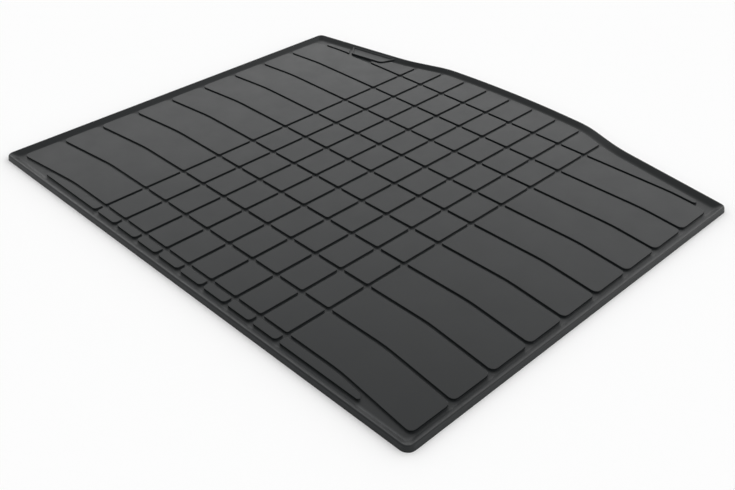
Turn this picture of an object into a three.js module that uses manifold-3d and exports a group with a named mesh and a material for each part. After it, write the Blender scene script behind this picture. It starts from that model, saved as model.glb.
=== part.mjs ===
import * as THREE from 'three';
import { mergeVertices } from 'three/addons/utils/BufferGeometryUtils.js';
import Module from 'manifold-3d';

// Car boot liner: one moulded rubber tray. Millimetres, +Z up, the origin under the middle of the tray.
// +Y points to the far edge, which bulges, and -Y to the near edge, which is straight.

// Outline, measured on the ground at the outer foot of the rim
const OVERALL_WIDTH = 1006;
const OVERALL_DEPTH = 852;
const BULGE_HEIGHT = 78; // from the far corners to the top of the crown
const CORNER_RADIUS = 14;
const SMALLEST_CORNER = 9; // the inner rings of the rim keep at least this radius
const FAR_SIDE_TILT = THREE.MathUtils.degToRad(9.5); // the straight stretches beside the bulge
const BULGE_FOOT_X = 264;
const BULGE_FOOT_RADIUS = 334;
const BULGE_SHOULDER_X = 178.5;
const BULGE_SHOULDER_RADIUS = 170;
const CROWN_RADIUS = 1957;
const CROWN_TILT = THREE.MathUtils.degToRad(4.1); // slope at the ends of the crown

// Section of the sheet and of the raised rim
const SHEET = 1.8; // thickness under the channels
const RIM_HEIGHT = 9;
const RIM_WALL = 2.2;
const OUTER_DRAFT = THREE.MathUtils.degToRad(11); // from the vertical
const INNER_SLOPE = THREE.MathUtils.degToRad(34); // from the horizontal
const CREST_RADIUS = 2.5;
const FOOT_RADIUS = 12.5;
const HOLLOW_RADIUS = 1;

// Raised panels: eight columns of tiles between two wide wings
const PANEL_RISE = 3.2;
const PANEL_DRAFT = 0.3; // how much smaller a panel is at its top, on each side
const CHANNEL = 5.5;
const TILE_COLUMNS = 8;
const COLUMN_PITCH = 58;
const ROW_PITCH = 79;
const THIN_ROW_DEPTH = 16.5;
const SIDE_BORDER = 20.5; // from the outer edge to the panels
const NEAR_BORDER = 20.5;
const FAR_BORDER = 22;
const TILE_CORNER = 3.5;
const THIN_CORNER = 6;
const WING_CORNER = 8.5;
const END_CUT = 5.5; // cut corner where a panel ends beside the rim
const WING_BEND_TILT = THREE.MathUtils.degToRad(6.3);
const WING_BEND_RADIUS = 300;
const NEAREST_BEND_RUN = 145; // how far from the wing's end its nearest line bends
const BEND_RUN_STEP = 8.1; // how much shorter the run is in each row further away
const THIN_WING_GAP = 88; // the thin row stops this far short of the wings' ends
const TOP_WING_GAP = 25; // and so does the farthest row

// Bare badge plate, on the left of the far rim
const BADGE_START = 115; // along the far side, from the corner to the plate's near edge
const BADGE_LENGTH = 78.5;
const BADGE_REACH = 38.5; // from the outer edge to the plate's near edge
const BADGE_FLARE = THREE.MathUtils.degToRad(31);
const BADGE_RISE = 4.5;
const BADGE_RIM = 3.5;
const BADGE_RECESS = 2;
const BADGE_RECESS_DRAFT = 1.2; // how much smaller the recess is at its floor, on each side
const BADGE_SHARP_CORNER = 6;
const BADGE_ROUND_CORNER = 12;
const BADGE_NEIGHBOUR_WIDTH = 89; // near wall of the panel between the plate and the tiles

// Steps of the rounded corners
const PANEL_STEPS = 3;
const BEND_STEPS = 2;
const RIM_CORNER_STEPS = 6;
const BULGE_STEPS = 5;
const CROWN_STEPS = 12;
const SECTION_STEPS = 4;

const OVERLAP = 1; // how deep joined solids run into each other
const LARGEST_SHARE = 0.98; // of a side, for the roundings at its two ends

const halfWidth = OVERALL_WIDTH / 2;
const nearEdge = -OVERALL_DEPTH / 2;
const farCorner = OVERALL_DEPTH / 2 - BULGE_HEIGHT;

const wasm = await Module();
wasm.setup();

function corner(x, y, radius = 0, steps = PANEL_STEPS) {
  return { x, y, radius, steps };
}

function mirrored(outline) {
  return outline.map((c) => ({ ...c, x: -c.x })).reverse();
}

// Where the line through p along u crosses the line through q along v.
function meet(p, u, q, v) {
  const along = new THREE.Vector2().subVectors(q, p).cross(v) / u.cross(v);
  return p.clone().addScaledVector(u, along);
}

function pointsOf(outline) {
  return outline.map((c) => new THREE.Vector2(c.x, c.y));
}

// The vectors from one point of a closed outline to the points before and after it.
function neighbours(points, k) {
  const count = points.length;
  const back = points[(k + count - 1) % count].clone().sub(points[k]);
  const ahead = points[(k + 1) % count].clone().sub(points[k]);
  return { back, ahead };
}

// A counter-clockwise outline with every side moved inwards; a negative distance moves it outwards.
function inset(outline, distance, smallest = 0) {
  const points = pointsOf(outline);
  return outline.map((c, k) => {
    const { back, ahead } = neighbours(points, k);
    const before = back.normalize().negate();
    const after = ahead.normalize();
    const left = new THREE.Vector2(-before.y - after.y, before.x + after.x);
    const moved = left.multiplyScalar(distance / (1 + before.dot(after))).add(points[k]);
    const change = Math.sign(before.cross(after)) * distance;
    const radius = c.radius && Math.max(c.radius - change, Math.min(smallest, c.radius));
    return { ...c, x: moved.x, y: moved.y, radius };
  });
}

// How far from its corner each rounding starts. Two roundings that need more than their side share it.
function roundingLengths(outline) {
  const points = pointsOf(outline);
  const wanted = outline.map((c, k) => {
    const { back, ahead } = neighbours(points, k);
    return c.radius ? c.radius / Math.tan(back.angleTo(ahead) / 2) : 0;
  });
  const shares = points.map((p, k) => {
    const next = (k + 1) % points.length;
    return Math.min(1, (LARGEST_SHARE * p.distanceTo(points[next])) / (wanted[k] + wanted[next]));
  });
  return wanted.map((length, k) => length * Math.min(shares[k], shares.at(k - 1)));
}

// The points of an outline, with each corner rounded as far as its two sides allow.
function rounded(outline) {
  const points = pointsOf(outline);
  const lengths = roundingLengths(outline);
  return outline.flatMap((c, k) => {
    if (!c.radius) return [points[k]];
    const { back, ahead } = neighbours(points, k);
    const start = points[k].clone().addScaledVector(back.normalize(), lengths[k]);
    const end = points[k].clone().addScaledVector(ahead.normalize(), lengths[k]);
    const centre = meet(start, new THREE.Vector2(-back.y, back.x), end, new THREE.Vector2(-ahead.y, ahead.x));
    const first = start.clone().sub(centre);
    const last = end.clone().sub(centre);
    const sweep = Math.atan2(first.cross(last), first.dot(last));
    return Array.from({ length: c.steps + 1 }, (_, s) =>
      first.clone().rotateAround(new THREE.Vector2(), (sweep * s) / c.steps).add(centre));
  });
}

// Rings are { points, z } with one number of points in each. They are joined in their order, and the
// first and last are either capped or, in a closed sweep, joined to each other.
function loft(rings, closed = false) {
  const count = rings[0].points.length;
  const positions = rings.flatMap(({ points, z }) => points.flatMap((p) => [p.x, p.y, z]));
  const faces = [];
  const joins = closed ? rings.length : rings.length - 1;
  for (let r = 0; r < joins; r += 1) {
    const low = r * count;
    const high = ((r + 1) % rings.length) * count;
    for (let k = 0; k < count; k += 1) {
      const next = (k + 1) % count;
      faces.push(low + k, low + next, high + next, low + k, high + next, high + k);
    }
  }
  if (!closed) {
    const top = (rings.length - 1) * count;
    for (const [a, b, c] of THREE.ShapeUtils.triangulateShape(rings[0].points, [])) faces.push(c, b, a);
    for (const [a, b, c] of THREE.ShapeUtils.triangulateShape(rings.at(-1).points, [])) {
      faces.push(top + a, top + b, top + c);
    }
  }
  const geometry = new THREE.BufferGeometry();
  geometry.setAttribute('position', new THREE.Float32BufferAttribute(positions, 3));
  geometry.setIndex(faces);
  return solid(geometry);
}

function solid(geometry) {
  const merged = mergeVertices(geometry);
  return new wasm.Manifold(new wasm.Mesh({
    numProp: 3,
    vertProperties: new Float32Array(merged.attributes.position.array),
    triVerts: new Uint32Array(merged.index.array),
  }));
}

function geometryOf(manifold) {
  const mesh = manifold.getMesh();
  const geometry = new THREE.BufferGeometry();
  geometry.setAttribute('position', new THREE.Float32BufferAttribute(mesh.vertProperties, mesh.numProp));
  geometry.setIndex([...mesh.triVerts]);
  const facets = geometry.toNonIndexed();
  facets.computeVertexNormals();
  return facets;
}

// The outer foot of the rim: straight near edge and sides, and a far side that bulges to a low crown.
function linerOutline() {
  const crownMeet = OVERALL_DEPTH / 2 + CROWN_RADIUS * (1 / Math.cos(CROWN_TILT) - 1);
  const bulgeFoot = farCorner + (halfWidth - BULGE_FOOT_X) * Math.tan(FAR_SIDE_TILT);
  const bulgeShoulder = crownMeet - BULGE_SHOULDER_X * Math.tan(CROWN_TILT);
  const right = [
    corner(halfWidth, nearEdge, CORNER_RADIUS, RIM_CORNER_STEPS),
    corner(halfWidth, farCorner, CORNER_RADIUS, RIM_CORNER_STEPS),
    corner(BULGE_FOOT_X, bulgeFoot, BULGE_FOOT_RADIUS, BULGE_STEPS),
    corner(BULGE_SHOULDER_X, bulgeShoulder, BULGE_SHOULDER_RADIUS, BULGE_STEPS),
  ];
  return [...right, corner(0, crownMeet, CROWN_RADIUS, CROWN_STEPS), ...mirrored(right)];
}

const outline = linerOutline();

// Crest of the rim in its section, where x is the distance in from the outer edge and y the height.
function rimCrest() {
  const height = RIM_HEIGHT - CREST_RADIUS;
  const outward = new THREE.Vector2(Math.sin(OUTER_DRAFT), Math.cos(OUTER_DRAFT));
  const inward = new THREE.Vector2(Math.cos(INNER_SLOPE), -Math.sin(INNER_SLOPE));
  const centre = new THREE.Vector2((CREST_RADIUS + height * outward.x) / outward.y, height);
  const slopeTop = new THREE.Vector2(-inward.y, inward.x).multiplyScalar(CREST_RADIUS).add(centre);
  return { outward, inward, slopeTop };
}

// The rim's outside: drafted outer face, rounded crest, slope and hollow foot down to the sheet.
function rimSection() {
  const { outward, inward, slopeTop } = rimCrest();
  const ridge = meet(new THREE.Vector2(), outward, slopeTop, inward);
  const foot = meet(slopeTop, inward, new THREE.Vector2(0, SHEET), new THREE.Vector2(1, 0));
  const footRun = FOOT_RADIUS * Math.tan(INNER_SLOPE / 2);
  return rounded([
    corner(0, 0),
    corner(ridge.x, ridge.y, CREST_RADIUS, SECTION_STEPS),
    corner(foot.x, foot.y, FOOT_RADIUS, SECTION_STEPS),
    corner(foot.x + 3 * footRun, SHEET),
  ]);
}

// The hollow under the rim, which leaves an even wall and is open to the ground.
function hollowSection() {
  const { outward, inward, slopeTop } = rimCrest();
  const outerWall = new THREE.Vector2(outward.y, -outward.x).multiplyScalar(RIM_WALL);
  const slopeWall = new THREE.Vector2(inward.y, -inward.x).multiplyScalar(RIM_WALL).add(slopeTop);
  const floor = new THREE.Vector2(0, -OVERLAP);
  const level = new THREE.Vector2(1, 0);
  const outerFoot = meet(outerWall, outward, floor, level);
  const peak = meet(outerWall, outward, slopeWall, inward);
  const innerFoot = meet(slopeWall, inward, floor, level);
  return rounded([
    corner(outerFoot.x, outerFoot.y),
    corner(peak.x, peak.y, HOLLOW_RADIUS, SECTION_STEPS),
    corner(innerFoot.x, innerFoot.y),
  ]);
}

function swept(section) {
  return section.map((p) => ({ points: rounded(inset(outline, p.x, SMALLEST_CORNER)), z: p.y }));
}

// A raised panel, buried a little in the sheet and slightly smaller at its top.
function panel(panelOutline, rise = PANEL_RISE) {
  return loft([
    { points: rounded(panelOutline), z: SHEET - OVERLAP },
    { points: rounded(inset(panelOutline, PANEL_DRAFT)), z: SHEET + rise },
  ]);
}

const panelEnd = halfWidth - SIDE_BORDER;
const thinWall = nearEdge + NEAR_BORDER;
const firstWall = thinWall + THIN_ROW_DEPTH + CHANNEL;
const topWingEnd = panelEnd - TOP_WING_GAP;
const tileHalfBlock = (TILE_COLUMNS * COLUMN_PITCH) / 2;
const wingStart = tileHalfBlock + CHANNEL / 2;

// The near walls of one row: level between the bends, then falling to the wings' ends.
function rowWall(row) {
  const y = firstWall + row * ROW_PITCH;
  const bend = panelEnd - NEAREST_BEND_RUN + row * BEND_RUN_STEP;
  const at = (x) => y - Math.max(Math.abs(x) - bend, 0) * Math.tan(WING_BEND_TILT);
  return { y, bend, at };
}

function tileSpans() {
  return Array.from({ length: TILE_COLUMNS }, (_, column) => {
    const start = -tileHalfBlock + column * COLUMN_PITCH + CHANNEL / 2;
    return [start, start + COLUMN_PITCH - CHANNEL];
  });
}

function tile([left, right], near, far, nearRadius = TILE_CORNER) {
  return panel([
    corner(left, near, nearRadius),
    corner(right, near, nearRadius),
    corner(right, far, TILE_CORNER),
    corner(left, far, TILE_CORNER),
  ]);
}

function cutCorner(x, y, cut) {
  return cut ? [corner(x, y - cut), corner(x - cut, y)] : [corner(x, y, TILE_CORNER)];
}

// Right-hand wing panel of a full row.
function wingOutline(row) {
  const near = rowWall(row);
  const far = rowWall(row + 1);
  return [
    corner(wingStart, near.y, TILE_CORNER),
    corner(near.bend, near.y, WING_BEND_RADIUS, BEND_STEPS),
    corner(panelEnd, near.at(panelEnd), WING_CORNER),
    corner(panelEnd, far.at(panelEnd) - CHANNEL, WING_CORNER),
    corner(far.bend, far.y - CHANNEL, WING_BEND_RADIUS, BEND_STEPS),
    corner(wingStart, far.y - CHANNEL, TILE_CORNER),
  ];
}

// Right-hand end of the thin row, which tapers under the nearest bend.
function thinWingOutline() {
  const end = panelEnd - THIN_WING_GAP;
  const far = rowWall(0);
  return [
    corner(wingStart, thinWall, THIN_CORNER),
    corner(end, thinWall, TILE_CORNER),
    ...cutCorner(end, far.at(end) - CHANNEL, END_CUT),
    corner(far.bend, far.y - CHANNEL, WING_BEND_RADIUS, BEND_STEPS),
    corner(wingStart, far.y - CHANNEL, TILE_CORNER),
  ];
}

const farLine = rounded(inset(outline, FAR_BORDER)).filter((p) => p.y > 0).sort((a, b) => a.x - b.x);

function farLineAt(x) {
  const next = Math.max(farLine.findIndex((p) => p.x > x), 1);
  const [a, b] = [farLine[next - 1], farLine[next]];
  return a.y + ((b.y - a.y) * (x - a.x)) / (b.x - a.x);
}

// As many full rows as leave the farthest row room for its cut corners at the wings' ends.
function countFullRows() {
  const depthPast = (row) => farLineAt(topWingEnd) - rowWall(row).at(topWingEnd);
  let rows = 0;
  while (depthPast(rows + 1) > END_CUT + TILE_CORNER) rows += 1;
  return rows;
}

const fullRows = countFullRows();

// A panel of the farthest row, between two places across the tray. Its far edge follows the rim.
function topOutline(left, right, cut = 0) {
  const wall = rowWall(fullRows);
  const clear = 2 * TILE_CORNER + cut;
  const bends = right > wall.bend && left < wall.bend;
  const edge = farLine.filter((p) => p.x > left + clear && p.x < right - clear).reverse();
  return [
    corner(left, wall.at(left), TILE_CORNER),
    ...(bends ? [corner(wall.bend, wall.y, WING_BEND_RADIUS, BEND_STEPS)] : []),
    corner(right, wall.at(right), Math.max(cut, TILE_CORNER)),
    ...cutCorner(right, farLineAt(right), cut),
    ...edge.map((p) => corner(p.x, p.y)),
    corner(left, farLineAt(left), TILE_CORNER),
  ];
}

// The badge plate, a trapezoid that widens into the rim. It lies square to the straight far side.
function badgeOutline() {
  const along = new THREE.Vector2(Math.cos(FAR_SIDE_TILT), Math.sin(FAR_SIDE_TILT));
  const inward = new THREE.Vector2(along.y, -along.x);
  const place = (run, reach, radius) => {
    const p = new THREE.Vector2(-halfWidth, farCorner).addScaledVector(along, run).addScaledVector(inward, reach);
    return corner(p.x, p.y, radius, SECTION_STEPS);
  };
  const buried = RIM_HEIGHT - CREST_RADIUS;
  const flare = (BADGE_REACH - buried) * Math.tan(BADGE_FLARE);
  return [
    place(BADGE_START, BADGE_REACH, BADGE_SHARP_CORNER),
    place(BADGE_START + BADGE_LENGTH, BADGE_REACH, BADGE_ROUND_CORNER),
    place(BADGE_START + BADGE_LENGTH + flare, buried, 0),
    place(BADGE_START - flare, buried, 0),
  ];
}

function badge() {
  const field = inset(badgeOutline(), BADGE_RIM);
  const top = SHEET + BADGE_RISE;
  const recess = loft([
    { points: rounded(inset(field, BADGE_RECESS_DRAFT)), z: top - BADGE_RECESS },
    { points: rounded(field), z: top },
    { points: rounded(field), z: top + OVERLAP },
  ]);
  return panel(badgeOutline(), BADGE_RISE).subtract(recess);
}

function badgeMoat() {
  const points = rounded(inset(badgeOutline(), -CHANNEL));
  return loft([{ points, z: -OVERLAP }, { points, z: RIM_HEIGHT }]);
}

function farthestRow() {
  const badgeSide = [
    mirrored(topOutline(wingStart, wingStart + BADGE_NEIGHBOUR_WIDTH)),
    mirrored(topOutline(-badgeOutline()[0].x, topWingEnd, END_CUT)),
  ];
  const left = wasm.Manifold.union(badgeSide.map((shape) => panel(shape))).subtract(badgeMoat());
  const middle = tileSpans().map(([start, stop]) => panel(topOutline(start, stop)));
  return [left, ...middle, panel(topOutline(wingStart, topWingEnd, END_CUT))];
}

function fullRow(row) {
  const near = rowWall(row).y;
  const tiles = tileSpans().map((span) => tile(span, near, near + ROW_PITCH - CHANNEL));
  return [panel(wingOutline(row)), panel(mirrored(wingOutline(row))), ...tiles];
}

function thinRow() {
  const tiles = tileSpans().map((span) => tile(span, thinWall, thinWall + THIN_ROW_DEPTH, THIN_CORNER));
  return [panel(thinWingOutline()), panel(mirrored(thinWingOutline())), ...tiles];
}

function liner() {
  const tray = loft(swept(rimSection()));
  const rows = Array.from({ length: fullRows }, (_, row) => fullRow(row)).flat();
  const raised = [...thinRow(), ...rows, ...farthestRow(), badge()];
  const hollow = loft(swept(hollowSection()), true);
  return wasm.Manifold.union([tray, ...raised]).subtract(hollow);
}

const rubber = new THREE.MeshStandardMaterial({ color: 0x39393a, roughness: 0.62, metalness: 0 });
const bootLiner = new THREE.Mesh(geometryOf(liner()), rubber);
bootLiner.name = 'boot_liner';

const model = new THREE.Group();
model.add(bootLiner);

export default model;
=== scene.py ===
"""Car boot liner: the moulded tray dressed for its render. Metres, in the frame of the CAD model."""
import math

import bmesh
import bpy
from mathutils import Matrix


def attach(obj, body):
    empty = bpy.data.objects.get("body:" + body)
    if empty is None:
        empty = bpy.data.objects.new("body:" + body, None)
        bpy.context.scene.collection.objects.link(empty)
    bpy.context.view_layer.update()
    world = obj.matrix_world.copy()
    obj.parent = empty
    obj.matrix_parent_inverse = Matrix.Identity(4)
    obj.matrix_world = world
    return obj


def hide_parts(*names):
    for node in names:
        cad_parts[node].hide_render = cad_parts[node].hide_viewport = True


MM = 0.001

# Camera, as in the photograph
CAMERA_PLACE = (1.04737, -1.03177, 0.89003)
CAMERA_AZIMUTH = math.radians(45.41)  # its view is turned by this from +Y towards -X
CAMERA_ELEVATION = math.radians(35.30)  # and looks down by this
SENSOR_WIDTH = 36
LENS = 47.54
CLIP_NEAR = 0.01
CLIP_FAR = 100

# Cleaning of the moulding's mesh, before and after its edges are softened
SAME_POINT = 0.002 * MM
COPLANAR = math.radians(0.2)
SHORTEST_EDGE = 0.15 * MM
CLOSE_POINTS = 0.06 * MM

# Softened edges of the moulding
LEVEL_NORMAL = 0.999  # a level face's normal rises more than this
WALL_NORMAL = 0.6  # and a wall's normal rises or falls less than this
TOP_EDGE_RADIUS = 0.45 * MM
FOOT_RADIUS = 0.35 * MM
EDGE_STEPS = 3
ROUND_PROFILE = 0.5
SMOOTH_ANGLE = math.radians(38)  # faces that meet at less than this are shaded as one surface
NORMAL_WEIGHT = 80  # above 50, large faces count more than small ones in the shading

# Rubber: tones and gloss
DARK_TONE = (0.0080, 0.0095, 0.0101, 1)
PALE_TONE = (0.0110, 0.0127, 0.0136, 1)
SPECK_SHARE = 0.45  # of the variation between the tones; clouds make the rest
SPECULAR_LEVEL = 0.26
ROUGHNESS_RANGE = (0.35, 0.42)

# Rubber: noises, each with its scale per metre, detail and roughness
CLOUDS = (9, 4, 0.55)
SPECKS = (900, 2, 0.6)
GLOSS_PATCHES = (23, 5, 0.6)
WAVES = (60, 3, 0.5)
NOISE_CORE = (0.3, 0.7)  # nearly all of a noise's values lie between these

# Rubber: moulded grain
PEBBLE_SCALE = 1100
PEBBLE_SMOOTHNESS = 0.6
PEBBLE_HEIGHT = 0.06 * MM
PEBBLE_STRENGTH = 0.35
WAVE_HEIGHT = 0.12 * MM
WAVE_STRENGTH = 0.3

# Light: levels of the surroundings, by the sine of the height above the horizon
HORIZON_LEVEL = 1.65
SKY_LEVELS = [(0.2, 1.53), (0.45, 1.38), (0.7, 1.07), (0.84, 0.7)]
ZENITH_LEVEL = 0.5
GLOW_AXIS = (0.1, 0.99, 0)  # points to the brighter side of the room
GLOW_RANGE = (0.55, 1.45)  # strength of the light on the darker side and on the brighter one

# Floor
FLOOR_HALF = 60.0
FLOOR_GAP = 0.02 * MM
FLOOR_COLOUR = (0.97, 0.97, 0.97, 1)


def new_material(name):
    """A material with only its output, and its nodes and links to add to."""
    material = bpy.data.materials.new(name)
    material.use_nodes = True
    nodes, links = material.node_tree.nodes, material.node_tree.links
    nodes.clear()
    output = nodes.new("ShaderNodeOutputMaterial")
    return material, nodes, links, output


def noise(nodes, links, place, kind):
    node = nodes.new("ShaderNodeTexNoise")
    for name, value in zip(("Scale", "Detail", "Roughness"), kind):
        node.inputs[name].default_value = value
    links.new(place, node.inputs["Vector"])
    return node.outputs["Fac"]


def ranged(nodes, links, value, span, target):
    """The value with its span stretched to the target span."""
    node = nodes.new("ShaderNodeMapRange")
    for name, end in zip(("From Min", "From Max", "To Min", "To Max"), (*span, *target)):
        node.inputs[name].default_value = end
    links.new(value, node.inputs["Value"])
    return node.outputs["Result"]


def bump(nodes, links, height, distance, strength):
    node = nodes.new("ShaderNodeBump")
    node.inputs["Distance"].default_value = distance
    node.inputs["Strength"].default_value = strength
    links.new(height, node.inputs["Height"])
    return node


def rubber_tone(nodes, links, place):
    """A colour between the two tones, by wide clouds and fine specks."""
    clouds = noise(nodes, links, place, CLOUDS)
    specks = noise(nodes, links, place, SPECKS)
    mixed = nodes.new("ShaderNodeMath")
    mixed.operation = "MULTIPLY_ADD"
    links.new(specks, mixed.inputs[0])
    mixed.inputs[1].default_value = SPECK_SHARE
    links.new(ranged(nodes, links, clouds, NOISE_CORE, (0, 1 - SPECK_SHARE)), mixed.inputs[2])

    tone = nodes.new("ShaderNodeMix")
    tone.data_type = "RGBA"
    tone.inputs["A"].default_value = DARK_TONE
    tone.inputs["B"].default_value = PALE_TONE
    links.new(mixed.outputs[0], tone.inputs["Factor"])
    return tone.outputs["Result"]


def rubber_skin(nodes, links, place):
    """The surface's normal: small pebbles, and low waves over them."""
    pebble = nodes.new("ShaderNodeTexVoronoi")
    pebble.feature = "SMOOTH_F1"
    pebble.inputs["Scale"].default_value = PEBBLE_SCALE
    pebble.inputs["Smoothness"].default_value = PEBBLE_SMOOTHNESS
    links.new(place, pebble.inputs["Vector"])
    grain = bump(nodes, links, pebble.outputs["Distance"], PEBBLE_HEIGHT, PEBBLE_STRENGTH)
    waves = bump(nodes, links, noise(nodes, links, place, WAVES), WAVE_HEIGHT, WAVE_STRENGTH)
    links.new(grain.outputs["Normal"], waves.inputs["Normal"])
    return waves.outputs["Normal"]


def rubber():
    """Dark satin rubber: a fine moulded grain, patchy gloss and a slight variation of its tone."""
    material, nodes, links, output = new_material("moulded_rubber")
    shader = nodes.new("ShaderNodeBsdfPrincipled")
    shader.inputs["Metallic"].default_value = 0
    shader.inputs["Specular IOR Level"].default_value = SPECULAR_LEVEL
    place = nodes.new("ShaderNodeTexCoord").outputs["Object"]
    patches = noise(nodes, links, place, GLOSS_PATCHES)
    links.new(ranged(nodes, links, patches, NOISE_CORE, ROUGHNESS_RANGE), shader.inputs["Roughness"])
    links.new(rubber_tone(nodes, links, place), shader.inputs["Base Color"])
    links.new(rubber_skin(nodes, links, place), shader.inputs["Normal"])
    links.new(shader.outputs["BSDF"], output.inputs["Surface"])
    return material


def is_level(face):
    return face.normal.z > LEVEL_NORMAL


def is_wall(face):
    return abs(face.normal.z) < WALL_NORMAL


def edges_between(bm, convex):
    """The edges between a level face and a wall, either all the convex or all the concave."""
    found = []
    for edge in bm.edges:
        if len(edge.link_faces) != 2 or edge.is_convex != convex:
            continue
        one, other = edge.link_faces
        if (is_level(one) and is_wall(other)) or (is_level(other) and is_wall(one)):
            found.append(edge)
    return found


def soften(bm, edges, radius):
    bmesh.ops.bevel(
        bm,
        geom=edges,
        affect="EDGES",
        offset=radius,
        offset_type="OFFSET",
        segments=EDGE_STEPS,
        profile=ROUND_PROFILE,
        miter_outer="SHARP",
        miter_inner="SHARP",
        clamp_overlap=False,
    )
    bm.normal_update()


def softened(cad):
    """The CAD node's mesh with its panels' top edges rounded and their feet filleted, in triangles."""
    bm = bmesh.new()
    bm.from_mesh(cad.data)
    bmesh.ops.remove_doubles(bm, verts=bm.verts, dist=SAME_POINT)
    bmesh.ops.dissolve_limit(bm, angle_limit=COPLANAR, verts=bm.verts, edges=bm.edges)
    bmesh.ops.dissolve_degenerate(bm, dist=SHORTEST_EDGE, edges=bm.edges)
    bm.normal_update()
    soften(bm, edges_between(bm, True), TOP_EDGE_RADIUS)
    soften(bm, edges_between(bm, False), FOOT_RADIUS)
    bmesh.ops.remove_doubles(bm, verts=bm.verts, dist=CLOSE_POINTS)
    bmesh.ops.triangulate(bm, faces=bm.faces, quad_method="BEAUTY", ngon_method="BEAUTY")
    return bm


def shade_smooth(bm):
    """Shade all faces smooth and keep only the sharp edges sharp."""
    for face in bm.faces:
        face.smooth = True
    for edge in bm.edges:
        edge.smooth = edge.is_manifold and edge.calc_face_angle(0) < SMOOTH_ANGLE


def soft_liner(cad):
    """The moulding in place of the CAD node."""
    bm = softened(cad)
    shade_smooth(bm)
    mesh = bpy.data.meshes.new("boot_liner_moulding")
    bm.to_mesh(mesh)
    bm.free()
    mesh.materials.append(rubber())
    piece = bpy.data.objects.new("boot_liner_moulding", mesh)
    bpy.context.scene.collection.objects.link(piece)
    even = piece.modifiers.new("even_normals", "WEIGHTED_NORMAL")
    even.keep_sharp = True
    even.weight = NORMAL_WEIGHT
    return piece


def square(name, half, height):
    """A level square round the origin."""
    mesh = bpy.data.meshes.new(name)
    corners = [(-half, -half, height), (half, -half, height), (half, half, height), (-half, half, height)]
    mesh.from_pydata(corners, [], [(0, 1, 2, 3)])
    piece = bpy.data.objects.new(name, mesh)
    bpy.context.scene.collection.objects.link(piece)
    return piece


def floor():
    """A pale matt floor, just below the liner."""
    material, nodes, links, output = new_material("white_floor")
    shader = nodes.new("ShaderNodeBsdfDiffuse")
    shader.inputs["Color"].default_value = FLOOR_COLOUR
    links.new(shader.outputs["BSDF"], output.inputs["Surface"])
    ground = square("floor", FLOOR_HALF, -FLOOR_GAP)
    ground.data.materials.append(material)


def grey(level):
    return (level, level, level, 1)


def sky(nodes, links, direction):
    """A grey that goes from the horizon's level to the zenith's."""
    parts = nodes.new("ShaderNodeSeparateXYZ")
    links.new(direction, parts.inputs["Vector"])
    ramp = nodes.new("ShaderNodeValToRGB")
    ramp.color_ramp.interpolation = "EASE"
    stops = ramp.color_ramp.elements
    stops[0].color = grey(HORIZON_LEVEL)
    stops[-1].color = grey(ZENITH_LEVEL)
    for height, level in SKY_LEVELS:
        stops.new(height).color = grey(level)
    links.new(parts.outputs["Z"], ramp.inputs["Fac"])
    return ramp.outputs["Color"]


def glow(nodes, links, direction):
    """A strength that grows towards the brighter side of the room."""
    side = nodes.new("ShaderNodeVectorMath")
    side.operation = "DOT_PRODUCT"
    side.inputs[1].default_value = GLOW_AXIS
    links.new(direction, side.inputs[0])
    return ranged(nodes, links, side.outputs["Value"], (-1, 1), GLOW_RANGE)


def surroundings():
    """An even white room that is darker overhead. It is the only light."""
    world = bpy.data.worlds.new("studio")
    bpy.context.scene.world = world
    world.use_nodes = True
    nodes, links = world.node_tree.nodes, world.node_tree.links
    nodes.clear()
    output = nodes.new("ShaderNodeOutputWorld")
    background = nodes.new("ShaderNodeBackground")
    direction = nodes.new("ShaderNodeTexCoord").outputs["Generated"]
    links.new(sky(nodes, links, direction), background.inputs["Color"])
    links.new(glow(nodes, links, direction), background.inputs["Strength"])
    links.new(background.outputs["Background"], output.inputs["Surface"])


def camera():
    data = bpy.data.cameras.new("camera")
    data.sensor_width = SENSOR_WIDTH
    data.lens = LENS
    data.clip_start = CLIP_NEAR
    data.clip_end = CLIP_FAR
    eye = bpy.data.objects.new("camera", data)
    bpy.context.scene.collection.objects.link(eye)
    eye.location = CAMERA_PLACE
    eye.rotation_euler = (math.pi / 2 - CAMERA_ELEVATION, 0, CAMERA_AZIMUTH)
    bpy.context.scene.camera = eye


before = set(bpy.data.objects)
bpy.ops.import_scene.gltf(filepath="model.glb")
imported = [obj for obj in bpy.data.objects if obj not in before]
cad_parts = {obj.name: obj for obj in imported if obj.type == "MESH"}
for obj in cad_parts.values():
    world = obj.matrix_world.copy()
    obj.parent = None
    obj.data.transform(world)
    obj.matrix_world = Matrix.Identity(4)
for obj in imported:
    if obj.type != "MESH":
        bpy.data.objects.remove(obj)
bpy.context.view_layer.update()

camera()
liner = soft_liner(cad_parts["boot_liner"])
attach(liner, "root")
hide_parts("boot_liner")
floor()
surroundings()
bpy.context.scene.view_settings.view_transform = "Standard"
